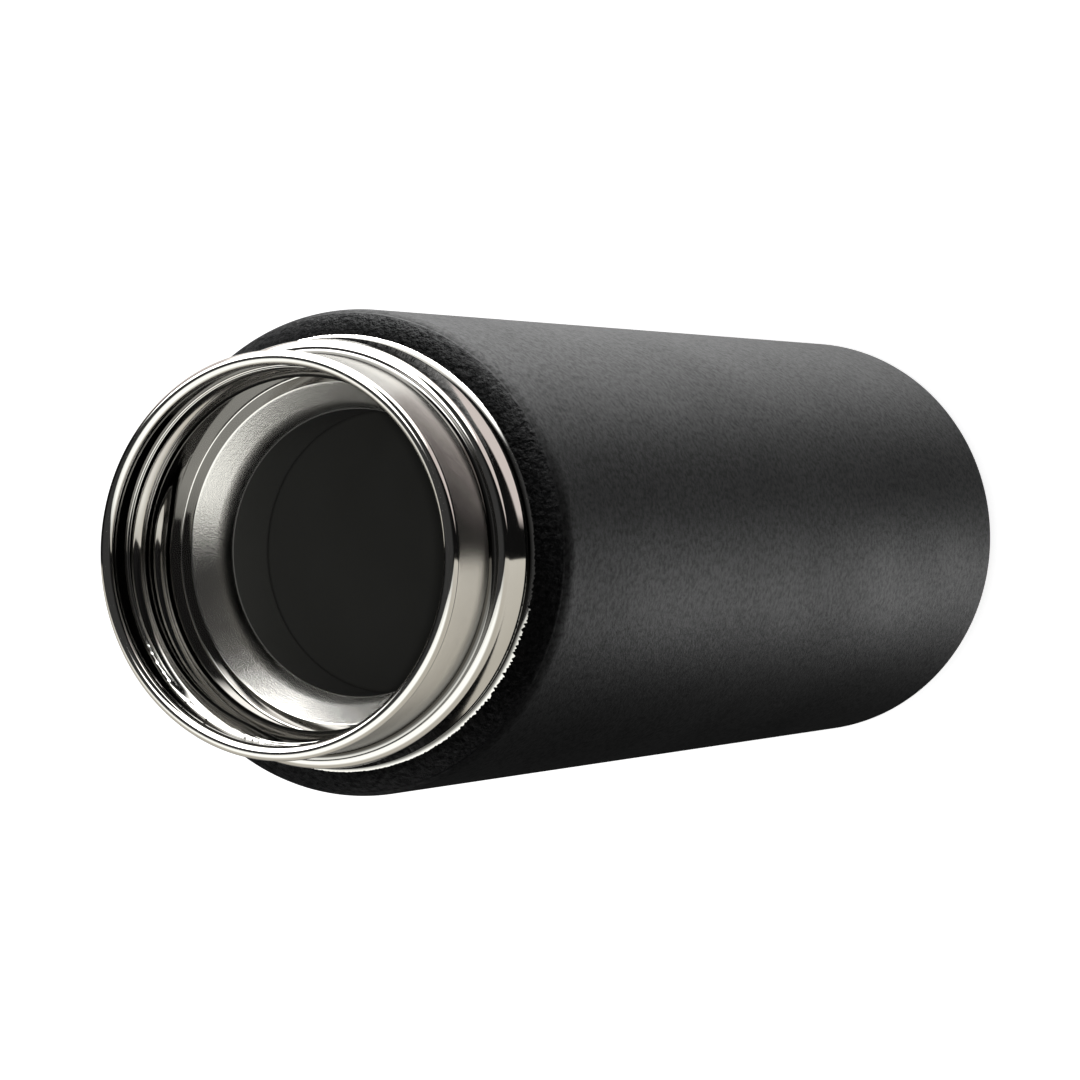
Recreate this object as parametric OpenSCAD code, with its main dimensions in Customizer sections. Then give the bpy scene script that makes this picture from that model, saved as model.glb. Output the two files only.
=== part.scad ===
// Double-wall vacuum growler, without a lid. Millimetres, +Z up.
// The origin is the centre of the face that the bottle stands on.

/* [Overall] */
// Height of the bottle, from the foot pad to the top of the lip
height = 205; // [190:1:230]
// Diameter of the body over its coat
body_d = 73; // [73:1:80]

/* [Sheet] */
// Thickness of the outer steel sheet
shell_t = 0.5; // [0.4:0.05:0.6]
// Thickness of the liner's steel sheet
liner_t = 0.4; // [0.3:0.05:0.5]
// Thickness of the powder coat
coat_t = 0.1; // [0.08:0.01:0.12]
// Width of the vacuum gap between the liner and the outer tube
vacuum_gap = 3.1; // [2.8:0.1:3.6]

/* [Mouth] */
// Radius of the round bead that forms the lip
lip_bead_r = 1.1; // [1:0.05:1.2]
// Outer diameter of the lip
lip_d = 59.5; // [59.2:0.1:59.8]
// Outer diameter of the neck wall
neck_d = 58.8; // [58.6:0.1:58.9]
// Depth below the lip at which the neck wall meets the collar
collar_depth = 12.1; // [11.5:0.1:12.6]
// Outer diameter of the collar
collar_d = 64; // [63.4:0.1:64.4]
// Depth below the lip of the shelf and the top of the shoulder
shoulder_depth = 18.9; // [18.6:0.1:19.4]
// Diameter at which the powder coat ends on the shelf
coat_edge_d = 65.2; // [64.8:0.1:66.4]
// Rounding of the shoulder
shoulder_round = 6; // [4:0.5:6.5]

/* [Inside the mouth] */
// Diameter of the plain bore just below the lip
recess_d = 55.5; // [55.3:0.1:55.6]
// Depth of the plain bore below the lip
recess_depth = 4.9; // [4.6:0.1:5]
// Diameter at the thread's root
thread_root_d = 54.6; // [54.4:0.1:54.8]
// How far the thread's crest stands in from its root
thread_height = 1.3; // [1.1:0.1:1.4]
// Rise of the thread in one turn
thread_pitch = 6; // [5.8:0.1:6.2]
// Turns of the thread
thread_turns = 1.35; // [1.2:0.05:1.4]
// Depth below the lip of the thread's upper end
thread_start_depth = 6.4; // [6.3:0.1:6.6]
// Depth of the ledge that the conical seat starts from
ledge_depth = 19.4; // [19.2:0.1:19.8]
// Outer diameter of the conical seat, which is rounded over into the throat
seat_d = 51; // [50.6:0.1:51.4]
// Diameter of the throat
throat_d = 43.4; // [43:0.1:44]
// Depth of the throat's upper edge
throat_depth = 24.9; // [24.5:0.1:25.2]
// Depth at which the throat opens into the liner's body
liner_top_depth = 37.5; // [36.5:0.5:40]

/* [Base] */
// Rounding of the base edge
base_round = 5.5; // [5:0.5:6]
// Height of the steel rim above the standing face
rim_lift = 0.4; // [0.3:0.05:0.5]
// Height of the weld between the outer tube and the outer cup
base_weld_z = 8; // [7.5:0.5:9]
// Height of the liner's floor inside
floor_z = 9; // [8.6:0.2:10]
// Radius of the foot pad
pad_r = 27.4; // [26.5:0.1:27.5]
// Thickness of the foot pad
pad_t = 1.35; // [1.2:0.05:1.35]

/* [Hidden] */
$fn = 96;

body_r = body_d / 2;
shell_r = body_r - coat_t;
neck_r = neck_d / 2;
neck_top_z = height - 2.3;
collar_r = collar_d / 2;
collar_top_z = height - collar_depth;
collar_top_round = 1.7;
collar_low_round = 1.2;
collar_sink = 0.4;
groove_round = 0.9;
shoulder_z = height - shoulder_depth;
valley_r = collar_r - 0.5;

lip_r = lip_d / 2;
lip_bead_x = lip_r - lip_bead_r;
lip_bead_z = height - lip_bead_r;
recess_r = recess_d / 2;
recess_z = height - recess_depth;
root_r = thread_root_d / 2;
ledge_z = height - ledge_depth;
ledge_round = 0.7;
seat_r = seat_d / 2;
throat_r = throat_d / 2;
throat_z = height - throat_depth;
seat_angle = 45;
seat_round = (ledge_z - throat_z - (seat_r - throat_r)) / (sqrt(2) - 1);
seat_sides = 6;
liner_r = shell_r - shell_t - vacuum_gap - liner_t;
liner_top_z = height - liner_top_depth;
liner_floor_round = 6;
throat_flare = 2.5;
liner_top_round = liner_r - throat_r - throat_flare;
liner_weld_z = floor_z + 9;
lining_t = 0.1;
lining_top_z = throat_z - 0.5;

thread_phase = -87;
thread_half_width = 2.6;
thread_root_overlap = 0.15;
thread_step = 7;
thread_fade = 24;
thread_sides = 8;

weld_gap = 0.1;
weld_bead_r = 0.5;

panel_z = pad_t + 0.15;
panel_r = pad_r + 0.6;
panel_round = 1;
cover_r = 12;
cover_t = 0.4;
cover_clearance = 0.3;
dimple_r = 4;
dimple_h = 1.5;
port_r = 0.8;
adhesive_r = 26;

foil_t = 0.08;
foil_clearance = 0.15;
foil_r = liner_r + liner_t + foil_clearance;
foil_low_z = liner_weld_z + 2;
foil_high_z = liner_top_z - liner_top_round - 2;
foil_gap_angle = 3;
tape_angle = 14;

getter_x = 18;
getter_r = 4;
getter_h = 2.2;
clip_w = 3;
clip_t = 0.3;
clip_foot = 4;
base_inside_z = panel_z + shell_t;

// The half-section of a disc from z0 to z1, with its upper and lower outer corners rounded.
module slab(r, z0, z1, upper = 0, lower = 0) {
    translate([0, z0 + lower]) square([r, z1 - upper - z0 - lower]);
    if (upper > 0) rounded_end(r, z1 - upper, upper, 0);
    if (lower > 0) rounded_end(r, z0 + lower, lower, -lower);
}

module rounded_end(r, z, round, drop) {
    translate([0, z + drop]) square([r - round, round]);
    translate([r - round, z]) intersection() {
        circle(round);
        translate([0, drop]) square(round);
    }
}

// The fillet that fills the inner corner between a wall at radius r and a face at height z.
module cove(r, z, round) {
    translate([r, z]) difference() {
        square(round);
        translate([round, round]) circle(round);
    }
}

module ring(r_in, r_out, z0, z1) {
    rotate_extrude() translate([r_in, z0]) square([r_out - r_in, z1 - z0]);
}

// Everything inside the outer tube's surface, set in by the given amount.
module shell_section(inset) {
    slab(shell_r - inset, base_weld_z + weld_gap, shoulder_z - inset, upper = shoulder_round - inset);
    slab(collar_r - inset, shoulder_z - collar_sink + inset, collar_top_z - inset,
         upper = collar_top_round - inset, lower = collar_low_round - inset);
    slab(valley_r - inset, shoulder_z - 2, shoulder_z + 2);
    slab(neck_r - inset, collar_top_z - 2, neck_top_z);
    cove(neck_r - inset, collar_top_z - inset, groove_round + inset);
}

module outer_shell() {
    color("silver") rotate_extrude() difference() {
        shell_section(0);
        shell_section(shell_t);
    }
}

// Everything inside the outer cup's surface, set in by the given amount.
module base_section(inset) {
    slab(shell_r - inset, rim_lift + inset, base_weld_z - weld_gap, lower = base_round - coat_t - inset);
}

// The raised panel, the cover's pocket and the port's dimple, as hollows in the cup's underside.
module panel_section(grow) {
    translate([0, -grow]) slab(panel_r + grow, 0, panel_z + 2 * grow, upper = panel_round + grow);
    slab(cover_r + cover_clearance + grow, 0, panel_z + cover_t + grow);
    slab(dimple_r + grow, 0, panel_z + cover_t + dimple_h + grow);
}

module outer_base() {
    color("silver") rotate_extrude() difference() {
        union() {
            difference() {
                base_section(0);
                base_section(shell_t);
            }
            intersection() {
                base_section(0);
                panel_section(shell_t);
            }
        }
        panel_section(0);
        square([port_r, base_weld_z]);
    }
}

module powder_coat() {
    color([0.06, 0.06, 0.06]) rotate_extrude() difference() {
        slab(body_r, rim_lift - coat_t, shoulder_z + coat_t, upper = shoulder_round + coat_t, lower = base_round);
        slab(shell_r, rim_lift, shoulder_z, upper = shoulder_round, lower = base_round - coat_t);
        translate([0, height / 2]) square([coat_edge_d / 2, height / 2]);
        square([panel_r + 0.6, height / 2]);
    }
}

module mouth_weld() {
    color("gainsboro") rotate_extrude() difference() {
        translate([neck_r - shell_t, neck_top_z]) square([shell_t, lip_bead_r]);
        translate([lip_bead_x, lip_bead_z]) circle(lip_bead_r);
    }
}

// Everything inside the liner's inner surface, grown outwards by the given amount.
module liner_section(grow) {
    miter = grow * tan(seat_angle / 2);
    round_r = seat_round - grow;
    slab(recess_r + grow, recess_z - grow, lip_bead_z);
    slab(root_r + grow, ledge_z - grow, lip_bead_z, lower = ledge_round + grow);
    polygon(concat(
        [[0, throat_z], [0, ledge_z + ledge_round], [seat_r, ledge_z + ledge_round]],
        [[seat_r + miter, ledge_z - grow]],
        [for (i = [seat_sides : -1 : 0])
            let (a = seat_angle * i / seat_sides)
            [throat_r + seat_round - round_r * cos(a), throat_z + round_r * sin(a)]]
    ));
    slab(throat_r + grow, liner_top_z - 1, throat_z);
    cove(throat_r + grow, liner_top_z + grow, throat_flare - grow);
    slab(liner_r + grow, floor_z - grow, liner_top_z + grow,
         upper = liner_top_round + grow, lower = liner_floor_round + grow);
}

// How far the thread stands in at an angle, fading smoothly to nothing at both ends.
function thread_share(a, span) =
    let (edge = min(1, min(a, span - a) / thread_fade)) edge * edge * (3 - 2 * edge);

// One cross-section of the thread: a rounded crest in front and a straight back inside the liner's wall.
function thread_points(a, span) =
    let (turn = thread_phase - a,
         z = height - thread_start_depth - a / 360 * thread_pitch,
         share = max(0.02, thread_share(a, span)))
    [for (i = [0 : thread_sides])
        let (s = 2 * i / thread_sides - 1,
             crest = thread_height * share * cos(90 * s),
             r = root_r + thread_root_overlap - crest * (1 + thread_root_overlap / thread_height),
             w = thread_half_width * (0.4 + 0.6 * share))
        [r * cos(turn), r * sin(turn), z + s * w]];

module thread_ridge() {
    span = 360 * thread_turns;
    steps = ceil(span / thread_step);
    n = thread_sides + 1;
    points = [for (k = [0 : steps]) each thread_points(k * span / steps, span)];
    skin = [for (k = [0 : steps - 1]) for (i = [0 : n - 1])
        let (j = (i + 1) % n, a = k * n)
        each [[a + i, a + j, a + n + i], [a + j, a + n + j, a + n + i]]];
    first = [for (i = [1 : n - 2]) [0, i + 1, i]];
    last = [for (i = [1 : n - 2]) [steps * n, steps * n + i, steps * n + i + 1]];
    polyhedron(points, concat(skin, first, last));
}

module inner_liner() {
    color("silver") union() {
        rotate_extrude() {
            difference() {
                liner_section(liner_t);
                liner_section(0);
                square([liner_r * 2, liner_weld_z + weld_gap]);
            }
            translate([lip_bead_x, lip_bead_z]) circle(lip_bead_r);
        }
        thread_ridge();
    }
}

module liner_base() {
    color("silver") rotate_extrude() intersection() {
        difference() {
            liner_section(liner_t);
            liner_section(0);
        }
        square([liner_r * 2, liner_weld_z - weld_gap]);
    }
}

module liner_lining() {
    color([0.12, 0.12, 0.11]) rotate_extrude() difference() {
        liner_section(0);
        liner_section(-lining_t);
        translate([0, lining_top_z]) square([body_r, height]);
    }
}

// A butt weld at height z between two edges of sheet, with a low bead on one side.
module butt_weld(r_in, r_out, bead_x, z) {
    rotate_extrude() {
        translate([r_in, z - weld_gap]) square([r_out - r_in, 2 * weld_gap]);
        translate([bead_x, z]) difference() {
            circle(weld_bead_r);
            translate([bead_x < r_out ? 0 : -1, -1]) square([1, 2]);
        }
    }
}

module liner_weld() {
    color("gainsboro") butt_weld(liner_r, liner_r + liner_t, liner_r + liner_t, liner_weld_z);
}

module base_weld() {
    color("gainsboro") butt_weld(shell_r - shell_t, shell_r, shell_r - shell_t, base_weld_z);
}

module copper_foil() {
    color("peru") rotate([0, 0, foil_gap_angle / 2]) rotate_extrude(angle = 360 - foil_gap_angle)
        translate([foil_r, foil_low_z]) square([foil_t, foil_high_z - foil_low_z]);
}

module foil_tape() {
    color("goldenrod") rotate([0, 0, -tape_angle / 2]) rotate_extrude(angle = tape_angle)
        translate([foil_r + foil_t, foil_low_z]) square([foil_t, foil_high_z - foil_low_z]);
}

module getter() {
    color("dimgray") translate([getter_x, 0, base_inside_z]) cylinder(r = getter_r, h = getter_h);
}

module getter_clip() {
    over = getter_h + clip_t;
    reach = getter_r + clip_t;
    color("lightgray") translate([getter_x, -clip_w / 2, base_inside_z]) rotate([90, 0, 180])
        mirror([1, 0, 0]) linear_extrude(clip_w) difference() {
            union() {
                translate([-reach, 0]) square([2 * reach, over]);
                translate([-reach - clip_foot, 0]) square([2 * (reach + clip_foot), clip_t]);
            }
            translate([-getter_r, -1]) square([2 * getter_r, getter_h + 1]);
        }
}

module port_seal() {
    bead_z = panel_z + cover_t + dimple_h;
    color("darkseagreen") intersection() {
        translate([0, 0, bead_z]) sphere(r = dimple_r * 0.6);
        translate([0, 0, bead_z - dimple_r]) cylinder(r = dimple_r, h = dimple_r);
    }
}

module port_cover() {
    color("silver") translate([0, 0, panel_z]) cylinder(r = cover_r, h = cover_t);
}

module cover_tacks() {
    tack_r = cover_clearance / 2;
    color("gainsboro") for (a = [0 : 120 : 240]) rotate([0, 0, a])
        translate([cover_r + tack_r, 0, panel_z]) cylinder(r = tack_r, h = cover_t);
}

module pad_adhesive() {
    color("khaki") ring(cover_r + cover_clearance + 0.2, adhesive_r, pad_t, panel_z);
}

module foot_pad() {
    color([0.1, 0.1, 0.1]) rotate_extrude() slab(pad_r, 0, pad_t, upper = 0.3, lower = 0.3);
}

outer_shell();
powder_coat();
mouth_weld();
inner_liner();
liner_lining();
liner_base();
liner_weld();
copper_foil();
foil_tape();
outer_base();
base_weld();
getter();
getter_clip();
port_seal();
port_cover();
cover_tacks();
pad_adhesive();
foot_pad();
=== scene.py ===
"""Vacuum growler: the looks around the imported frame. Metres, +Z up, in the frame's own axes."""
import math
import random

import bmesh
import bpy
import numpy as np
from mathutils import Matrix, Vector


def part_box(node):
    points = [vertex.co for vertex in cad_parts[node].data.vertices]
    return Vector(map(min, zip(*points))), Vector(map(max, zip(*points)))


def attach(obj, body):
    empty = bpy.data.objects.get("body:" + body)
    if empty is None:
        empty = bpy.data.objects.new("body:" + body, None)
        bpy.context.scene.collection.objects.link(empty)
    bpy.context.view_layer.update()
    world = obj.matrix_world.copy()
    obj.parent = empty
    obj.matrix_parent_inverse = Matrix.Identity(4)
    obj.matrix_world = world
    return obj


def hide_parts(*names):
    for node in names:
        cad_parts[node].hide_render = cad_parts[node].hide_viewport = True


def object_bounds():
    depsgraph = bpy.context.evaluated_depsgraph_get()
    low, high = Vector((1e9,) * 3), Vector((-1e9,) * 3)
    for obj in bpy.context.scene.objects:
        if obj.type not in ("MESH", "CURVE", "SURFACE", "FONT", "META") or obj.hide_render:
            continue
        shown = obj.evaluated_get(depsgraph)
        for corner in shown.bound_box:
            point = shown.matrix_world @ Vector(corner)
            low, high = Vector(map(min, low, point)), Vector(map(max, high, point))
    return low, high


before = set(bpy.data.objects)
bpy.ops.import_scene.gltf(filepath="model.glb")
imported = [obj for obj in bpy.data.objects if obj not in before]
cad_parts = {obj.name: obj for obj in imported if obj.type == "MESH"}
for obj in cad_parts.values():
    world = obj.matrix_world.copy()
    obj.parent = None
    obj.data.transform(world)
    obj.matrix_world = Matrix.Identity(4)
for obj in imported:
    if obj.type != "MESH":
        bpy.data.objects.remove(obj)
cad_low, cad_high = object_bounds()

MM = 0.001
MERGE_DISTANCE = 1e-7

# ---------------------------------------------------------------- sizes read from the frame

shell_low, shell_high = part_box("outer_shell")
coat_low, coat_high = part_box("powder_coat")
liner_low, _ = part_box("inner_liner")
lining_low, lining_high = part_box("liner_lining")
weld_low, weld_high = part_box("mouth_weld")
_, pad_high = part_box("foot_pad")

HEIGHT = cad_high.z
BODY_R = coat_high.x
SHELL_R = shell_high.x
COAT_T = BODY_R - SHELL_R
COAT_LOW_Z = coat_low.z
SHOULDER_Z = coat_high.z - COAT_T
SHELL_LOW_Z = shell_low.z
NECK_TOP_Z = weld_low.z
NECK_R = weld_high.x
LINER_R = lining_high.x
LINER_LOW_Z = liner_low.z
LINING_LOW_Z = lining_low.z
LINING_HIGH_Z = lining_high.z
PAD_R = pad_high.x
PAD_HIGH_Z = pad_high.z

# ---------------------------------------------------------------- sizes that the frame's boxes don't give

SHELL_T = 0.5 * MM
LINER_T = 0.4 * MM
LINING_T = 0.1 * MM

# The coat, shoulder and base.
SHOULDER_ROUND = 6 * MM
BASE_ROUND = 5.5 * MM
FLOOR_ROUND = 6 * MM
COAT_EDGE_R = 32.6 * MM
COAT_FOOT_R = 28.6 * MM

# The collar between the neck and the shoulder, which is drawn in a little at its waist.
COLLAR_R = 32 * MM
COLLAR_TOP_Z = HEIGHT - 12.1 * MM
COLLAR_TOP_ROUND = 1.35 * MM
COLLAR_LOW_ROUND = 1.2 * MM
COLLAR_SINK = 0.4 * MM
WAIST_R = 31.65 * MM
WAIST_Z = HEIGHT - 13.9 * MM
WAIST_ROUND = 20 * MM
WAIST_LOW_Z = HEIGHT - 17.9 * MM
FLARE_TURN = 5
GROOVE_ROUND = 0.9 * MM

# The mouth, from the lip's bead down to the top of the bottle's inner wall.
BEAD_R = 1.1 * MM
BEAD_X = 28.65 * MM
BEAD_Z = HEIGHT - BEAD_R
RECESS_R = 27.75 * MM
RECESS_Z = HEIGHT - 4.9 * MM
RECESS_EDGE_ROUND = 0.12 * MM
RECESS_ROUND = 0.2 * MM
ROOT_R = 27.3 * MM
LEDGE_Z = HEIGHT - 19.4 * MM
LEDGE_ROUND = 0.3 * MM
SEAT_R = 25.5 * MM
SEAT_EDGE_ROUND = 0.1 * MM
THROAT_R = 21.7 * MM
THROAT_Z = HEIGHT - 24.9 * MM
SEAT_ROUND = (LEDGE_Z - THROAT_Z - (SEAT_R - THROAT_R)) / (math.sqrt(2) - 1)
THROAT_FLARE = 2.5 * MM
LINER_TOP_Z = HEIGHT - 37.5 * MM
LINER_TOP_ROUND = LINER_R - THROAT_R - THROAT_FLARE

# The rolled thread. It starts at an angle in degrees and falls as it turns; its ends fade out.
THREAD_HEIGHT = 1.3 * MM
THREAD_PITCH = 6 * MM
THREAD_TURNS = 1.35
THREAD_START_Z = HEIGHT - 6.4 * MM
THREAD_PHASE = -87
THREAD_HALF_WIDTH = 2.6 * MM
THREAD_BACK = 0.15 * MM
THREAD_FADE = 24
THREAD_BLEND = 0.25 * MM
THREAD_LEAST = 0.02
THREAD_END_WIDTH = 0.4
NO_THREAD = 1.0

# The coat's ragged edge near the collar: how far it wanders, on which side it is most chipped, and what
# part of the shoulder's turn it moves.
FRAY_REACH = 0.30 * MM
FRAY_SIDE = math.radians(-27)
FRAY_LEAST = 0.16
FRAY_FOCUS = 10
FRAY_PART = 0.2
FRAY_WAVES = (13, 29, 61, 113, 171, 229, 307, 401)

# The foot pad's rounded edge and moulded ring.
PAD_EDGE_ROUND = 0.3 * MM
RING_R = PAD_R * 0.8
RING_HALF_WIDTH = 0.6 * MM
RING_DEPTH = 0.25 * MM

# ---------------------------------------------------------------- outlines and meshes


def arc(x, z, radius, start, end, steps=12):
    """Points along an arc about (x, z), from the start angle to the end angle in degrees."""
    turns = [math.radians(start + (end - start) * i / steps) for i in range(steps + 1)]
    return [(x + radius * math.cos(a), z + radius * math.sin(a)) for a in turns]


def line(start, end, steps):
    """Points along a straight line, without its last point."""
    return [tuple(start[k] + (end[k] - start[k]) * i / steps for k in (0, 1)) for i in range(steps)]


def fillet(before, corner, after, radius, steps=8):
    """A rounded corner between two straight lines."""
    p, a, b = Vector(corner), Vector(before), Vector(after)
    to_a, to_b = (a - p).normalized(), (b - p).normalized()
    half = to_a.angle(to_b) / 2
    centre = p + (to_a + to_b).normalized() * radius / math.sin(half)
    first, last = p + to_a * radius / math.tan(half), p + to_b * radius / math.tan(half)
    start = math.atan2(*(first - centre).yx)
    sweep = math.remainder(math.atan2(*(last - centre).yx) - start, 2 * math.pi)
    turns = [start + sweep * i / steps for i in range(steps + 1)]
    return [(centre.x + radius * math.cos(t), centre.y + radius * math.sin(t)) for t in turns]


def revolve(name, outline, segments=384, shape=None, sharp=40):
    """Turns a closed outline about the axis. shape(radii, heights, angle) may change each copy of it."""
    outline = np.array(outline, float)
    count = len(outline)
    angles = np.arange(segments) * 2 * math.pi / segments
    verts = []
    for angle in angles:
        radii, heights = outline[:, 0].copy(), outline[:, 1].copy()
        if shape:
            radii, heights = shape(radii, heights, angle)
        verts.append(np.stack([radii * math.cos(angle), radii * math.sin(angle), heights], 1))
    faces = []
    for k in range(segments):
        here, there = k * count, (k + 1) % segments * count
        for i in range(count):
            j = (i + 1) % count
            faces.append((here + i, there + i, there + j, here + j))
    mesh = bpy.data.meshes.new(name)
    mesh.from_pydata(np.concatenate(verts).tolist(), [], faces)
    return finish_mesh(name, mesh, sharp)


def finish_mesh(name, mesh, sharp):
    """Merges points that meet, drops loose edges, turns the faces out and smooths all but sharp edges."""
    work = bmesh.new()
    work.from_mesh(mesh)
    bmesh.ops.remove_doubles(work, verts=work.verts, dist=MERGE_DISTANCE)
    loose = [edge for edge in work.edges if not edge.link_faces]
    bmesh.ops.delete(work, geom=loose, context="EDGES")
    bmesh.ops.recalc_face_normals(work, faces=work.faces)
    work.to_mesh(mesh)
    work.free()
    mesh.shade_smooth()
    mesh.set_sharp_from_angle(angle=math.radians(sharp))
    piece = bpy.data.objects.new(name, mesh)
    bpy.context.scene.collection.objects.link(piece)
    return piece


def stand_in(piece, material, slot, *nodes):
    """Gives a piece its material, and shows it in place of the CAD nodes that it stands for."""
    piece.data.materials.append(material)
    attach(piece, "root")
    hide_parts(*nodes)
    return piece


# ---------------------------------------------------------------- shapes


def crossing(first, second):
    """Where two circles, each (x, z, radius), cross on the right: the angle about each, in degrees."""
    x1, z1, r1 = first
    x2, z2, r2 = second
    span = math.hypot(x2 - x1, z2 - z1)
    across, rise = (x2 - x1) / span, (z2 - z1) / span
    along = (r1 * r1 - r2 * r2 + span * span) / (2 * span)
    half = math.sqrt(max(0, r1 * r1 - along * along))
    x, z = x1 + along * across + half * rise, z1 + along * rise - half * across
    return math.degrees(math.atan2(z - z1, x - x1)), math.degrees(math.atan2(z - z2, x - x2))


def shell_outline(inset):
    """The outer tube's surface from the bottom up to the lip weld, set in by the sheet's thickness."""
    shoulder_x = SHELL_R - SHOULDER_ROUND
    shoulder_low = SHOULDER_Z - SHOULDER_ROUND
    low_x, low_z = COLLAR_R - COLLAR_LOW_ROUND, SHOULDER_Z - COLLAR_SINK + COLLAR_LOW_ROUND
    top_x, top_z = WAIST_R - COLLAR_TOP_ROUND, COLLAR_TOP_Z - COLLAR_TOP_ROUND
    groove_x, groove_z = NECK_R + GROOVE_ROUND, COLLAR_TOP_Z + GROOVE_ROUND
    leave, meet = crossing((shoulder_x, shoulder_low, SHOULDER_ROUND - inset),
                           (low_x, low_z, COLLAR_LOW_ROUND - inset))
    waist_low = math.degrees(math.asin((WAIST_Z - WAIST_LOW_Z) / WAIST_ROUND))
    points = [(SHELL_R - inset, SHELL_LOW_Z)]
    points += arc(shoulder_x, shoulder_low, SHOULDER_ROUND - inset, 0, leave, 24)
    points += arc(low_x, low_z, COLLAR_LOW_ROUND - inset, meet, -FLARE_TURN, 12)
    points += arc(WAIST_R + WAIST_ROUND, WAIST_Z, WAIST_ROUND + inset, 180 + waist_low, 180, 16)
    points += arc(top_x, top_z, COLLAR_TOP_ROUND - inset, 0, 90, 18)
    points += arc(groove_x, groove_z, GROOVE_ROUND + inset, 270, 180, 12)
    points += [(NECK_R - inset, NECK_TOP_Z)]
    return points


def build_outer_shell(material):
    outline = shell_outline(0) + shell_outline(SHELL_T)[::-1]
    return stand_in(revolve("outer_tube", outline), material, "steel_polished", "outer_shell")


def build_mouth_weld(material):
    """The ring of weld between the neck's edge and the lip's bead."""
    inner = NECK_R - SHELL_T
    start = -math.degrees(math.acos((NECK_R - BEAD_X) / BEAD_R))
    end = -math.degrees(math.acos((inner - BEAD_X) / BEAD_R))
    outline = [(inner, NECK_TOP_Z), (NECK_R, NECK_TOP_Z)] + arc(BEAD_X, BEAD_Z, BEAD_R, start, end)
    return stand_in(revolve("lip_weld", outline, sharp=60), material, "weld", "mouth_weld")


def smooth_min(a, b, blend):
    """The smaller of two values, blended over where they are nearly equal."""
    h = np.clip(0.5 + 0.5 * (b - a) / blend, 0, 1)
    return b * (1 - h) + a * h - blend * h * (1 - h)


def thread_radius(heights, angle):
    """The radius of the rolled thread's surface at each height, or NO_THREAD where it isn't."""
    span = 360 * THREAD_TURNS
    radius = np.full(len(heights), NO_THREAD)
    first = (THREAD_PHASE - math.degrees(angle)) % 360
    for turned in (first, first + 360):
        if turned > span:
            continue
        edge = min(1, min(turned, span - turned) / THREAD_FADE)
        share = max(THREAD_LEAST, edge * edge * (3 - 2 * edge))
        width = THREAD_HALF_WIDTH * (THREAD_END_WIDTH + (1 - THREAD_END_WIDTH) * share)
        across = (heights - THREAD_START_Z + turned / 360 * THREAD_PITCH) / width
        crest = THREAD_HEIGHT * share * np.cos(np.clip(across, -1, 1) * math.pi / 2)
        ridge = ROOT_R + THREAD_BACK - crest * (1 + THREAD_BACK / THREAD_HEIGHT)
        radius = np.minimum(radius, np.where(np.abs(across) < 1, ridge, NO_THREAD))
    return radius


def liner_wall():
    """The liner's inner surface from its open lower edge up to the bead."""
    seat_edge = (SEAT_R, LEDGE_Z)
    seat_foot = (SEAT_R - 2 * MM, LEDGE_Z - 2 * MM)
    flare_z = LINER_TOP_Z + THROAT_FLARE
    points = [(LINER_R, LINER_LOW_Z)]
    points += arc(LINER_R - LINER_TOP_ROUND, LINER_TOP_Z - LINER_TOP_ROUND, LINER_TOP_ROUND, 0, 90, 16)
    points += arc(THROAT_R + THROAT_FLARE, flare_z, THROAT_FLARE, 270, 180, 12)
    points += arc(THROAT_R + SEAT_ROUND, THROAT_Z, SEAT_ROUND, 180, 135, 16)
    points += fillet(seat_foot, seat_edge, (ROOT_R, LEDGE_Z), SEAT_EDGE_ROUND)
    points += arc(ROOT_R - LEDGE_ROUND, LEDGE_Z + LEDGE_ROUND, LEDGE_ROUND, 270, 360, 8)
    root_low, root_high = LEDGE_Z + LEDGE_ROUND + 0.1 * MM, RECESS_Z - RECESS_EDGE_ROUND - 0.02 * MM
    points += line((ROOT_R, root_low), (ROOT_R, root_high), 130)
    points += arc(ROOT_R + RECESS_EDGE_ROUND, RECESS_Z - RECESS_EDGE_ROUND, RECESS_EDGE_ROUND, 180, 90, 5)
    points += arc(RECESS_R - RECESS_ROUND, RECESS_Z + RECESS_ROUND, RECESS_ROUND, 270, 360, 5)
    recess_low = RECESS_Z + RECESS_ROUND + 0.05 * MM
    points += line((RECESS_R, recess_low), (RECESS_R, BEAD_Z - BEAD_R), 16)
    return points


def liner_back():
    """The liner's surface on the vacuum side, from the bead down."""
    top = LINER_TOP_Z + LINER_T
    round_r = LINER_TOP_ROUND + LINER_T
    return [
        (RECESS_R + LINER_T, RECESS_Z - LINER_T),
        (ROOT_R + LINER_T, RECESS_Z - LINER_T),
        (ROOT_R + LINER_T, LEDGE_Z - LINER_T),
        (SEAT_R + LINER_T / 2, LEDGE_Z - LINER_T),
    ] + arc(THROAT_R + SEAT_ROUND, THROAT_Z, SEAT_ROUND - LINER_T, 135, 180, 8) \
      + arc(THROAT_R + THROAT_FLARE, LINER_TOP_Z + THROAT_FLARE, THROAT_FLARE - LINER_T, 180, 270, 8) \
      + arc(LINER_R + LINER_T - round_r, top - round_r, round_r, 90, 0, 12) \
      + [(LINER_R + LINER_T, LINER_LOW_Z)]


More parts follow.
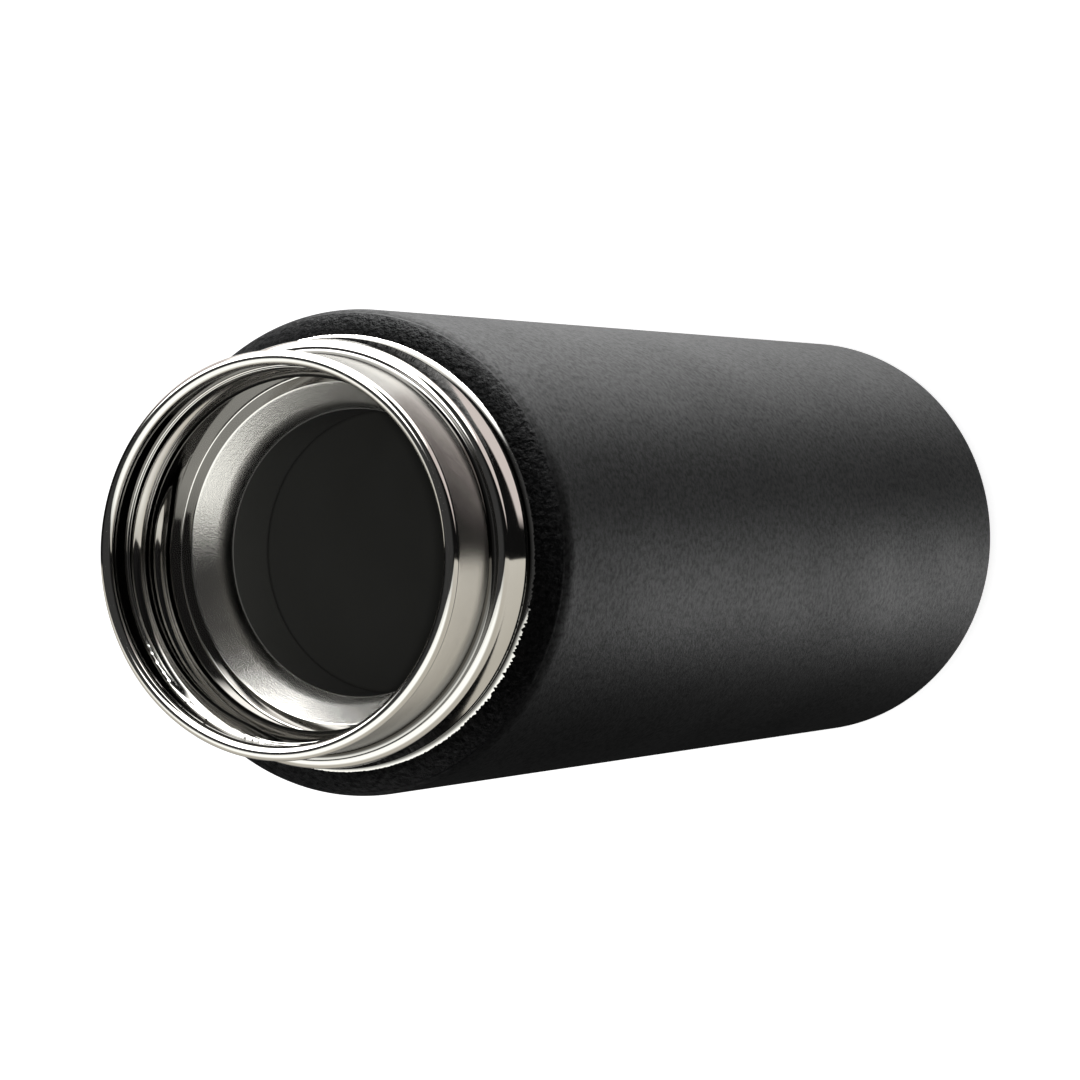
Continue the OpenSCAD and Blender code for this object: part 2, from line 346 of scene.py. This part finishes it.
def build_liner(material):
    """The steel liner: bead, recess, rolled thread, ledge, seat, throat and bottle wall in one sheet."""
    wall = liner_wall()
    rolled = len(wall)
    inner_meet = 180 + math.degrees(math.acos((BEAD_X - RECESS_R) / BEAD_R))
    outer_meet = -math.degrees(math.acos((RECESS_R + LINER_T - BEAD_X) / BEAD_R))
    wall += arc(BEAD_X, BEAD_Z, BEAD_R, inner_meet, outer_meet, 64)
    outline = wall + liner_back()
    inner = np.arange(len(outline)) < rolled

    def roll_thread(radii, heights, angle):
        ridge = thread_radius(heights, angle)
        near = inner & (heights > LEDGE_Z) & (ridge < NO_THREAD)
        radii[near] = smooth_min(radii[near], ridge[near], THREAD_BLEND)
        return radii, heights

    piece = revolve("liner_tube", outline, segments=720, shape=roll_thread, sharp=50)
    return stand_in(piece, material, "steel_polished", "inner_liner")


def lining_surface(inset):
    """The lining's surface from the throat down to the middle of the floor, set in from the wall."""
    throat = THROAT_R - inset
    wall = LINER_R - inset
    top = LINER_TOP_Z - inset
    floor = LINING_LOW_Z + inset
    flare = THROAT_FLARE + inset
    upper = LINER_TOP_ROUND - inset
    lower = FLOOR_ROUND - inset
    points = [(throat, LINING_HIGH_Z)]
    points += arc(throat + flare, top + flare, flare, 180, 270, 12)
    points += arc(wall - upper, top - upper, upper, 90, 0, 20)
    points += arc(wall - lower, floor + lower, lower, 0, -90, 16)
    points += [(wall * share, floor) for share in (0.6, 0.4, 0.2, 0)]
    return points


def build_lining(material):
    outline = lining_surface(0) + lining_surface(LINING_T)[::-1]
    return stand_in(revolve("dark_lining", outline), material, "lining", "liner_lining")


def ragged(angle, seed):
    """A rough periodic wander in about -1 to 1, as a masked edge of coating has."""
    rng = random.Random(seed)
    total = 0
    for waves in FRAY_WAVES:
        total += rng.uniform(0.5, 1) * math.sin(waves * angle + rng.uniform(0, 2 * math.pi))
    return total / 3


def build_coat(material):
    """The powder coat, with the uneven edge that masking leaves near the collar."""
    x, low = SHELL_R - SHOULDER_ROUND, SHOULDER_Z - SHOULDER_ROUND

    def surface(radius, foot_r, foot_z, base_round):
        edge = math.degrees(math.acos((COAT_EDGE_R - x) / radius))
        points = [(COAT_FOOT_R, foot_z)]
        points += arc(foot_r - base_round, foot_z + base_round, base_round, -90, 0, 14)
        points += line((foot_r, foot_z + base_round + MM), (foot_r, low), 6)
        return points + arc(x, low, radius, 0, edge, 28)

    outer = surface(SHOULDER_ROUND + COAT_T, BODY_R, COAT_LOW_Z, BASE_ROUND)
    inner = surface(SHOULDER_ROUND, SHELL_R, COAT_LOW_Z + COAT_T, BASE_ROUND - COAT_T)
    outline = np.array(outer + inner[::-1])
    above = outline[:, 1] > low + 0.1 * MM
    turn = np.arctan2(outline[:, 1] - low, outline[:, 0] - x)
    reach = np.hypot(outline[:, 0] - x, outline[:, 1] - low)
    last = turn[above].max()

    def fray(radii, heights, angle):
        chipped = FRAY_LEAST + (1 - FRAY_LEAST) * max(0, math.cos(angle - FRAY_SIDE)) ** FRAY_FOCUS
        pull = ragged(angle, 3) * chipped * FRAY_REACH / (SHOULDER_ROUND + COAT_T)
        share = np.clip((turn - last * (1 - FRAY_PART)) / (last * FRAY_PART), 0, 1)
        moved = turn - pull * share
        radii[above] = x + reach[above] * np.cos(moved[above])
        heights[above] = low + reach[above] * np.sin(moved[above])
        return radii, heights

    piece = revolve("black_coat", outline, segments=2160, shape=fray, sharp=50)
    return stand_in(piece, material, "powder_coat", "powder_coat")


def build_foot_pad(material):
    """The rubber pad, with rounded edges and a shallow moulded ring."""
    ring = arc(RING_R, 0, RING_HALF_WIDTH * 0.8, 180, 0, 10)[1:-1]
    outline = [(0, 0), (RING_R - RING_HALF_WIDTH, 0)]
    outline += [(r, min(z, RING_DEPTH)) for r, z in ring]
    outline += [(RING_R + RING_HALF_WIDTH, 0)]
    outline += arc(PAD_R - PAD_EDGE_ROUND, PAD_EDGE_ROUND, PAD_EDGE_ROUND, -90, 0, 6)
    outline += arc(PAD_R - PAD_EDGE_ROUND, PAD_HIGH_Z - PAD_EDGE_ROUND, PAD_EDGE_ROUND, 0, 90, 6)
    outline += [(0, PAD_HIGH_Z)]
    return stand_in(revolve("foot_pad_rubber", outline), material, "foot_rubber", "foot_pad")


# ---------------------------------------------------------------- materials

WHOLE = (-1.0, 1.0)
QUARTER_TURN = 0.25
# The grey of the painted shade in the steel's crevices, standing in for the shadow that falls there.
CREVICE_PAINTED_SHADE_COLOR = (0.13, 0.127, 0.12)


class Nodes:
    """A short way to build a material's node tree."""

    def __init__(self, name):
        self.material = bpy.data.materials.new(name)
        self.material.use_nodes = True
        self.tree = self.material.node_tree
        self.tree.nodes.clear()
        self.out = self.tree.nodes.new("ShaderNodeOutputMaterial")

    def add(self, kind, inputs=None, **settings):
        node = self.tree.nodes.new("ShaderNode" + kind)
        for key, value in settings.items():
            setattr(node, key, value)
        for key, value in (inputs or {}).items():
            self.put(node.inputs[key], value)
        return node

    def put(self, socket, value):
        if isinstance(value, bpy.types.NodeSocket):
            self.tree.links.new(value, socket)
        else:
            socket.default_value = value

    def math(self, operation, a, b):
        return self.add("Math", {0: a, 1: b}, operation=operation).outputs[0]

    def product(self, first, *others):
        for other in others:
            first = self.math("MULTIPLY", first, other)
        return first

    def mix(self, share, first, second):
        """The first colour, turning into the second as share goes from 0 to 1."""
        colors = [c if isinstance(c, bpy.types.NodeSocket) else (*c, 1) for c in (first, second)]
        return self.add("Mix", {0: share, 6: colors[0], 7: colors[1]}, data_type="RGBA").outputs[2]

    def noise(self, vector, scale, detail=4.0, roughness=0.5):
        inputs = {"Vector": vector, "Scale": scale, "Detail": detail, "Roughness": roughness}
        return self.add("TexNoise", inputs).outputs["Fac"]

    def ramp(self, factor, *stops):
        node = self.add("ValToRGB", {"Fac": factor})
        elements = node.color_ramp.elements
        while len(elements) < len(stops):
            elements.new(0.5)
        for element, (place, color) in zip(elements, stops):
            element.position = place
            element.color = (*color, 1) if isinstance(color, tuple) else (color, color, color, 1)
        return node.outputs["Color"]

    def map_range(self, value, low, high, to_low, to_high):
        inputs = {"Value": value, "From Min": low, "From Max": high, "To Min": to_low, "To Max": to_high}
        return self.add("MapRange", inputs).outputs["Result"]

    def rise(self, value, low, high):
        """0 up to low, and 1 from high on. It falls where low is the larger."""
        return self.map_range(value, low, high, 0.0, 1.0)

    def within(self, value, low, high, blend):
        """1 between two values, and 0 outside them."""
        risen = self.rise(value, low - blend, low + blend)
        return self.product(risen, self.rise(value, high + blend, high - blend))

    def stretched(self, x, y, z):
        place = self.add("TexCoord").outputs["Object"]
        return self.add("Mapping", {"Vector": place, "Scale": (x, y, z)}).outputs["Vector"]

    def bump(self, height, strength, distance, normal=None):
        inputs = {"Height": height, "Strength": strength, "Distance": distance}
        if normal is not None:
            inputs["Normal"] = normal
        return self.add("Bump", inputs).outputs["Normal"]

    def principled(self, inputs):
        shader = self.add("BsdfPrincipled", inputs)
        self.tree.links.new(shader.outputs["BSDF"], self.out.inputs["Surface"])
        return self.material


def steel(name, color, polish, satin, band, lathe=1.0, spread=0.6, dots=0.8, depth=2e-5, painted_shade_bands=()):
    """Bare stainless steel: polished, except for a turned satin band between two heights.

    polish and satin are the two roughnesses. lathe and dots are the strengths of the turned lines and of
    the speckle in the band, depth is how deep they are, and spread is how far they smear a reflection along
    the axis. The crevice bands are pairs of heights between which the base colour is darkened as painted
    shade, standing in for the shadow in the crevices.
    """
    n = Nodes(name)
    plain = n.stretched(1, 1, 1)
    height = n.add("SeparateXYZ", {"Vector": n.add("TexCoord").outputs["Object"]}).outputs["Z"]
    inside = n.within(height, *band, 0.1 * MM)
    lines = n.noise(n.stretched(14, 14, 8000), 1.0, 6, 0.75)
    streaks = n.noise(n.stretched(70, 70, 900), 1.0, 4, 0.7)
    speckle = n.noise(plain, 3000, 3, 0.8)
    smudge = n.noise(plain, 100, 5, 0.6)
    polish_rough = n.map_range(smudge, 0.35, 0.7, polish * 0.8, polish * 1.3)
    satin_rough = n.map_range(smudge, 0.35, 0.7, satin * 0.92, satin * 1.08)
    rough = n.add("Mix", {0: inside, 2: polish_rough, 3: satin_rough}).outputs[0]
    darker = tuple(c * 0.94 for c in color)
    base = n.ramp(n.noise(plain, 40, 3), (0.35, darker), (0.65, color))
    # Painted shade: between each pair of heights the base colour turns dull grey, standing in for the
    # shadow in a crevice.
    for foot, top in painted_shade_bands:
        above = n.rise(height, foot - 0.06 * MM, foot + 0.06 * MM)
        painted_shade = n.product(above, n.rise(height, top, top - 0.25 * MM))
        base = n.mix(painted_shade, base, CREVICE_PAINTED_SHADE_COLOR)
    grain = n.math("ADD", n.math("ADD", lines, streaks), n.product(speckle, dots))
    normal = n.bump(n.product(grain, inside), 0.45 * lathe, depth)
    normal = n.bump(n.noise(plain, 170, 2), 0.03, 2e-5, normal)
    tangent = n.add("Tangent", direction_type="RADIAL", axis="Z").outputs["Tangent"]
    return n.principled({
        "Base Color": base, "Metallic": 1.0, "Roughness": rough, "Normal": normal,
        "Anisotropic": n.product(inside, spread), "Anisotropic Rotation": QUARTER_TURN, "Tangent": tangent,
    })


def coat_paint():
    """Matte black powder coat: a fine pebbled grain, coarser and leathery on the shoulder, whose colour is
    darkened as painted shade.
    """
    n = Nodes("black_powder_coat")
    place = n.add("SeparateXYZ", {"Vector": n.add("TexCoord").outputs["Object"]})
    shoulder = n.rise(place.outputs["Z"], SHOULDER_Z - 3.5 * MM, SHOULDER_Z - 3.2 * MM)
    plain = n.stretched(1, 1, 1)
    pebbles = n.noise(plain, 2600, 4, 0.6)
    orange_peel = n.noise(plain, 700, 3, 0.5)
    leather = n.noise(plain, 1100, 4, 0.6)
    cloud = n.noise(plain, 30, 4, 0.55)
    fleck = n.ramp(n.noise(plain, 3600, 2, 0.5), (0.62, 0.0), (0.78, 1.0))
    base = n.ramp(cloud, (0.3, (0.0125, 0.0130, 0.0132)), (0.7, (0.0165, 0.0170, 0.0170)))
    lighter = n.mix(n.product(fleck, 0.25), base, (0.05, 0.052, 0.052))
    rough = n.map_range(cloud, 0.3, 0.7, 0.50, 0.58)
    normal = n.bump(n.math("ADD", pebbles, n.product(orange_peel, 0.8)), 0.5, 1.1e-4)
    normal = n.bump(n.product(leather, shoulder), 1.0, 6e-4, normal)
    # Painted shade: the shoulder's base colour is made darker and bluer, standing in for the shade on its
    # upward-facing ring.
    darker = n.mix(shoulder, lighter, (0.0050, 0.0056, 0.0066))
    grain = n.map_range(n.noise(plain, 1200, 4, 0.7), 0.38, 0.62, 0.22, 0.78)
    shine = n.product(grain, n.map_range(shoulder, 0.0, 1.0, 1.0, 0.8))
    return n.principled({
        "Base Color": darker, "Roughness": rough, "Specular IOR Level": shine, "Normal": normal,
    })


def lining_ceramic():
    """The dark satin lining, with a faint orange peel."""
    n = Nodes("dark_ceramic_lining")
    plain = n.stretched(1, 1, 1)
    tone = n.noise(plain, 25, 4)
    base = n.ramp(tone, (0.3, (0.0120, 0.0120, 0.0108)), (0.7, (0.0150, 0.0150, 0.0135)))
    normal = n.bump(n.noise(plain, 900, 4, 0.6), 0.25, 5e-5)
    rough = n.map_range(n.noise(plain, 60, 3), 0.3, 0.7, 0.55, 0.65)
    return n.principled({
        "Base Color": base, "Roughness": rough, "Specular IOR Level": 0.2, "Normal": normal,
    })


def foot_rubber():
    """Matte rubber with a moulded stipple."""
    n = Nodes("matte_rubber")
    plain = n.stretched(1, 1, 1)
    stipple = n.add("TexVoronoi", {"Vector": plain, "Scale": 900.0}).outputs["Distance"]
    base = n.ramp(n.noise(plain, 60, 4), (0.3, (0.018, 0.018, 0.018)), (0.7, (0.030, 0.030, 0.030)))
    normal = n.bump(stipple, 0.3, 8e-5)
    rough = n.map_range(n.noise(plain, 120, 3), 0.3, 0.7, 0.75, 0.9)
    return n.principled({"Base Color": base, "Roughness": rough, "Normal": normal})


def grained(name, light, dark, rough, scale, metallic=0.0, depth=2e-5, transmission=0.0):
    """A material with mottled tone, uneven gloss and a fine surface grain."""
    n = Nodes(name)
    plain = n.stretched(1, 1, 1)
    base = n.ramp(n.noise(plain, scale, 5, 0.6), (0.3, dark), (0.7, light))
    rough_value = n.map_range(n.noise(plain, scale * 2, 4), 0.3, 0.7, rough * 0.8, rough * 1.2)
    normal = n.bump(n.noise(plain, scale * 12, 4, 0.6), 0.4, depth)
    return n.principled({
        "Base Color": base, "Metallic": metallic, "Roughness": rough_value, "Normal": normal,
        "Transmission Weight": transmission,
    })


# ---------------------------------------------------------------- the object

neck_wall = (COLLAR_TOP_Z + 0.8 * MM, NECK_TOP_Z)
# Painted shade bands: the groove above the collar, and the gap under the collar at the shoulder.
neck_painted_shade_bands = (
    (COLLAR_TOP_Z + 0.05 * MM, COLLAR_TOP_Z + 0.85 * MM),
    (SHOULDER_Z - 0.28 * MM, SHOULDER_Z + 0.7 * MM),
)
seat_band = (THROAT_Z - MM, LEDGE_Z - 0.1 * MM)
neck_steel = steel("polished_neck_steel", (0.77, 0.755, 0.73), polish=0.06, satin=0.22, band=neck_wall,
                   spread=0.3, painted_shade_bands=neck_painted_shade_bands)
mouth = steel("polished_mouth_steel", (0.78, 0.765, 0.74), polish=0.07, satin=0.19, band=seat_band,
              spread=1.0, dots=2.5, depth=4e-5)
weld_steel = steel("ground_weld_steel", (0.74, 0.72, 0.70), polish=0.10, satin=0.14, band=WHOLE, lathe=0.5)
plain_steel = steel("drawn_steel", (0.62, 0.61, 0.60), polish=0.2, satin=0.28, band=WHOLE, lathe=1.5)
copper = grained("copper_foil_metal", (0.90, 0.50, 0.34), (0.78, 0.38, 0.24),
                 metallic=1.0, rough=0.22, scale=80)
tape = grained("amber_tape_film", (0.72, 0.42, 0.09), (0.60, 0.33, 0.06), rough=0.35, scale=120)
powder = grained("getter_powder", (0.16, 0.16, 0.17), (0.09, 0.09, 0.10),
                 metallic=0.3, rough=0.8, scale=400, depth=1e-4)
glass = grained("solder_glass_bead", (0.42, 0.55, 0.47), (0.30, 0.44, 0.37), rough=0.12, scale=150,
                transmission=0.5)
adhesive = grained("adhesive_film", (0.78, 0.74, 0.60), (0.66, 0.62, 0.48), rough=0.5, scale=150,
                   depth=3e-5)

steel_pieces = [
    build_outer_shell(neck_steel),
    build_mouth_weld(weld_steel),
    build_liner(mouth),
]
dark_pieces = [
    build_coat(coat_paint()),
    build_lining(lining_ceramic()),
    build_foot_pad(foot_rubber()),
]
CAD_MATERIALS = {
    "liner_base": plain_steel, "outer_base": plain_steel, "port_cover": plain_steel,
    "getter_clip": plain_steel, "liner_weld": weld_steel, "base_weld": weld_steel,
    "cover_tacks": weld_steel, "copper_foil": copper, "foil_tape": tape, "getter": powder,
    "port_seal": glass, "pad_adhesive": adhesive,
}
for node, material in CAD_MATERIALS.items():
    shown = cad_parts[node]
    shown.data.materials.clear()
    shown.data.materials.append(material)
    (steel_pieces if "steel" in material.name else dark_pieces).append(shown)

# ---------------------------------------------------------------- stage, light and camera

CAMERA_PLACE = (0.29165, 0.00943, 0.70290)
CAMERA_RIGHT = (0.89484, -0.00642, -0.44634)
CAMERA_UP = (0.0, 0.99990, -0.01438)
CAMERA_LENS = 133.03

# The floor lies just under the foot pad, so that the two faces don't coincide.
FLOOR_HALF = 6.0
FLOOR_Z = -0.05 * MM
FLOOR_GLOW = 0.72

DOME_R = 8.0
BODY_MIDDLE = (0, 0, 0.11)
BASE_END = (0, 0, 0.02)
STRAIGHT_UP = (0, 0, 1)

# How high the studio's horizon is mirrored: behind the bottle, and in front of it.
HORIZON = -0.045
FRONT_HORIZON = -0.22

# The colours that the steel mirrors.
TABLE_COLORS = ((0.0, (0.72, 0.69, 0.62)), (0.5, (0.58, 0.55, 0.48)))
FRONT_TABLE_COLORS = ((0.0, (0.42, 0.42, 0.39)), (1.0, (1.4, 1.41, 1.35)))
FAR_TABLE_COLOR = (0.22, 0.215, 0.20)
DARK_WALL_COLORS = ((0.0, 0.006), (1.0, 0.045))
PALE_WALL_COLOR = (0.78, 0.70, 0.67)
SCREEN_COLORS = ((0.0, (0.76, 0.75, 0.73)), (1.0, (1.3, 1.29, 1.25)))
CEILING_COLOR = (3.0, 3.0, 2.9)
SOFTBOX_COLOR = (6.5, 6.5, 6.4)
SECOND_BOUNCE = 0.26

# The coat's lamps: name, direction, distance, width and height, power, and the point they face.
COAT_LAMPS = (
    ("rim_glow", (-0.18, 0.78, -0.6), 0.62, (0.7, 0.7), 1.9, BASE_END),
    ("overhead", (0.05, 0.95, -0.25), 0.62, (0.8, 0.8), 4.2, BASE_END),
    ("back_glow", (0.42, -0.20, -0.88), 0.7, (0.25, 0.25), 0.72, BASE_END),
    ("shoulder_glint", (0.25, 0.92, 0.30), 0.62, (0.2, 0.2), 0.35, BODY_MIDDLE),
    ("strip_left", (-1.0, 0.15, 0.05), 1.2, (0.25, 1.1), 5, BODY_MIDDLE),
    ("strip_low", (-0.35, -0.95, 0.03), 1.2, (0.25, 1.1), 1.8, BODY_MIDDLE),
    ("strip_right", (0.9, -0.5, -0.4), 1.2, (0.2, 1.1), 0.8, BODY_MIDDLE),
)


def collect(name, members):
    """A collection that a light can be limited to."""
    group = bpy.data.collections.new(name)
    for member in members:
        group.objects.link(member)
    return group


def build_floor():
    """A plain pale floor, lit from above and glowing a little. The bottle doesn't mirror it."""
    mesh = bpy.data.meshes.new("floor")
    corners = [(x * FLOOR_HALF, y * FLOOR_HALF, FLOOR_Z) for x, y in ((-1, -1), (1, -1), (1, 1), (-1, 1))]
    mesh.from_pydata(corners, [], [(0, 1, 2, 3)])
    floor = bpy.data.objects.new("floor", mesh)
    n = Nodes("pale_floor")
    tone = n.ramp(n.noise(n.stretched(1, 1, 1), 3, 3), (0.3, 0.90), (0.7, 0.92))
    floor.data.materials.append(n.principled({
        "Base Color": tone, "Roughness": 0.9, "Specular IOR Level": 0.0,
        "Emission Color": (1, 1, 1, 1), "Emission Strength": FLOOR_GLOW,
    }))
    floor.visible_glossy = False
    floor.visible_diffuse = False
    floor.visible_shadow = False
    bpy.context.scene.collection.objects.link(floor)
    return floor


def add_lamp(name, kind, power, receivers):
    """A lamp that lights only its receivers."""
    data = bpy.data.lights.new(name, kind)
    data.energy = power
    lamp = bpy.data.objects.new(name, data)
    lamp.light_linking.receiver_collection = receivers
    bpy.context.scene.collection.objects.link(lamp)
    return lamp


def turn_lamp(lamp, direction):
    """Makes a lamp shine in a direction."""
    lamp.rotation_mode = "QUATERNION"
    lamp.rotation_quaternion = direction.to_track_quat("-Z", "Y")


def area_light(name, towards, distance, size, power, aim, receivers):
    """A soft oblong lamp at a distance and direction from the point that it faces."""
    lamp = add_lamp(name, "AREA", power, receivers)
    lamp.data.shape = "RECTANGLE"
    lamp.data.size, lamp.data.size_y = size
    lamp.location = Vector(aim) + Vector(towards).normalized() * distance
    turn_lamp(lamp, Vector(aim) - lamp.location)


def sun_light(name, towards, power, spread, receivers):
    """Light from a whole direction, softened over a spread in degrees."""
    lamp = add_lamp(name, "SUN", power, receivers)
    lamp.data.angle = math.radians(spread)
    turn_lamp(lamp, -Vector(towards))


def point_light(name, place, power, radius, receivers):
    """A small round lamp at a place."""
    lamp = add_lamp(name, "POINT", power, receivers)
    lamp.data.shadow_soft_size = radius
    lamp.location = place


def build_sky(receivers):
    """The studio that the steel mirrors: a glowing dome whose brightness depends on direction only.

    side, up and along are the mirrored direction's parts along X, Y and Z: up is the top of the picture,
    and along is out of the bottle's mouth. The steel mirrors a table below the horizon, and above it a wall
    with lamps.
    """
    mesh = bpy.data.meshes.new("studio_dome")
    work = bmesh.new()
    bmesh.ops.create_icosphere(work, subdivisions=3, radius=DOME_R)
    work.to_mesh(mesh)
    work.free()
    dome = bpy.data.objects.new("studio_dome", mesh)
    n = Nodes("studio_glow")
    n.material.cycles.emission_sampling = "NONE"
    incoming = n.add("NewGeometry").outputs["Incoming"]
    way = n.add("VectorMath", {0: incoming, 1: (-1, -1, -1)}, operation="MULTIPLY")
    part = n.add("SeparateXYZ", {"Vector": way.outputs["Vector"]})
    up, side, along = part.outputs["Y"], part.outputs["X"], part.outputs["Z"]

    # The table: pale at the bottle, dark to bright in front of it, and dim far behind on the left.
    table = n.ramp(n.product(up, -1.0), *TABLE_COLORS)
    table = n.mix(n.rise(along, 0.15, 0.5), table, n.ramp(n.rise(up, -0.05, -0.40), *FRONT_TABLE_COLORS))
    far = n.product(n.rise(side, 0.12, -0.32), n.rise(along, -0.4, -0.6))
    table = n.mix(far, table, FAR_TABLE_COLOR)

    # The wall: dark near the table, and pale above a height that grows towards the front.
    dark = n.ramp(n.rise(along, 0.3, 0.7), *DARK_WALL_COLORS)
    start = n.map_range(along, -0.6, 0.3, 0.12, 0.72)
    risen = n.rise(n.math("SUBTRACT", up, start), 0.0, 0.08)
    forward = n.rise(n.math("ADD", along, n.product(up, 0.316)), -0.70, -0.675)
    wall = n.mix(n.product(risen, forward), dark, PALE_WALL_COLOR)

    # A screen behind on the left, a bright ceiling with a dark corner in front on the right, and a softbox.
    behind = n.product(n.rise(side, -0.07, -0.13), n.rise(along, -0.5, -0.65))
    wall = n.mix(behind, wall, n.ramp(n.rise(up, 0.40, 0.55), *SCREEN_COLORS))
    wall = n.mix(n.rise(up, 0.70, 0.78), wall, CEILING_COLOR)
    corner = n.product(n.rise(side, 0.06, 0.14), n.rise(up, 0.97, 0.93), n.rise(along, 0.1, 0.2))
    wall = n.mix(corner, wall, dark)
    softbox = n.product(n.rise(side, 0.12, 0.0), n.rise(up, 0.30, 0.42), n.rise(along, 0.25, 0.45))
    wall = n.mix(softbox, wall, SOFTBOX_COLOR)

    over = n.math("SUBTRACT", up, n.map_range(along, 0.2, 0.7, HORIZON, FRONT_HORIZON))
    mixed = n.mix(n.rise(over, 0.0, 0.006), table, wall)
    bounces = n.add("LightPath").outputs["Glossy Depth"]
    strength = n.map_range(bounces, 1.0, 2.0, 1.0, SECOND_BOUNCE)
    glow = n.add("Emission", {"Color": mixed, "Strength": strength})
    n.tree.links.new(glow.outputs["Emission"], n.out.inputs["Surface"])
    dome.data.materials.append(n.material)
    dome.visible_camera = False
    dome.visible_diffuse = False
    dome.visible_shadow = False
    dome.light_linking.receiver_collection = receivers
    bpy.context.scene.collection.objects.link(dome)


def build_world():
    """A pale backdrop that the camera sees and that lights nothing."""
    world = bpy.data.worlds.new("backdrop")
    bpy.context.scene.world = world
    world.use_nodes = True
    tree = world.node_tree
    background = tree.nodes["Background"]
    background.inputs["Color"].default_value = (1, 1, 1, 1)
    path = tree.nodes.new("ShaderNodeLightPath")
    tree.links.new(path.outputs["Is Camera Ray"], background.inputs["Strength"])


def build_camera():
    """Looks down into the mouth along a slant, with the bottle's +Y side at the top of the picture."""
    data = bpy.data.cameras.new("camera")
    data.sensor_width = 36
    data.lens = CAMERA_LENS
    data.clip_start = 0.05
    camera = bpy.data.objects.new("camera", data)
    right = Vector(CAMERA_RIGHT).normalized()
    back = right.cross(Vector(CAMERA_UP)).normalized()
    up = back.cross(right)
    camera.matrix_world = Matrix.Translation(CAMERA_PLACE) @ Matrix((right, up, back)).transposed().to_4x4()
    bpy.context.scene.collection.objects.link(camera)
    bpy.context.scene.camera = camera


floor = build_floor()
steel_group = collect("steel_receivers", steel_pieces)
coat_group = collect("coat_receivers", dark_pieces[:1] + dark_pieces[2:])
mouth_group = collect("mouth_receivers", dark_pieces[1:2])
floor_group = collect("floor_receivers", [floor])
build_sky(steel_group)
build_world()
for lamp in COAT_LAMPS:
    area_light(*lamp, coat_group)
point_light("mouth_fill", CAMERA_PLACE, power=32, radius=0.01, receivers=mouth_group)
area_light("mouth_top", STRAIGHT_UP, 0.6, (0.2, 0.2), 3.5, BODY_MIDDLE, mouth_group)
sun_light("floor_sun", STRAIGHT_UP, power=1.9, spread=120, receivers=floor_group)

build_camera()
bpy.context.scene.view_settings.view_transform = "Standard"
bpy.context.scene.view_settings.look = "None"
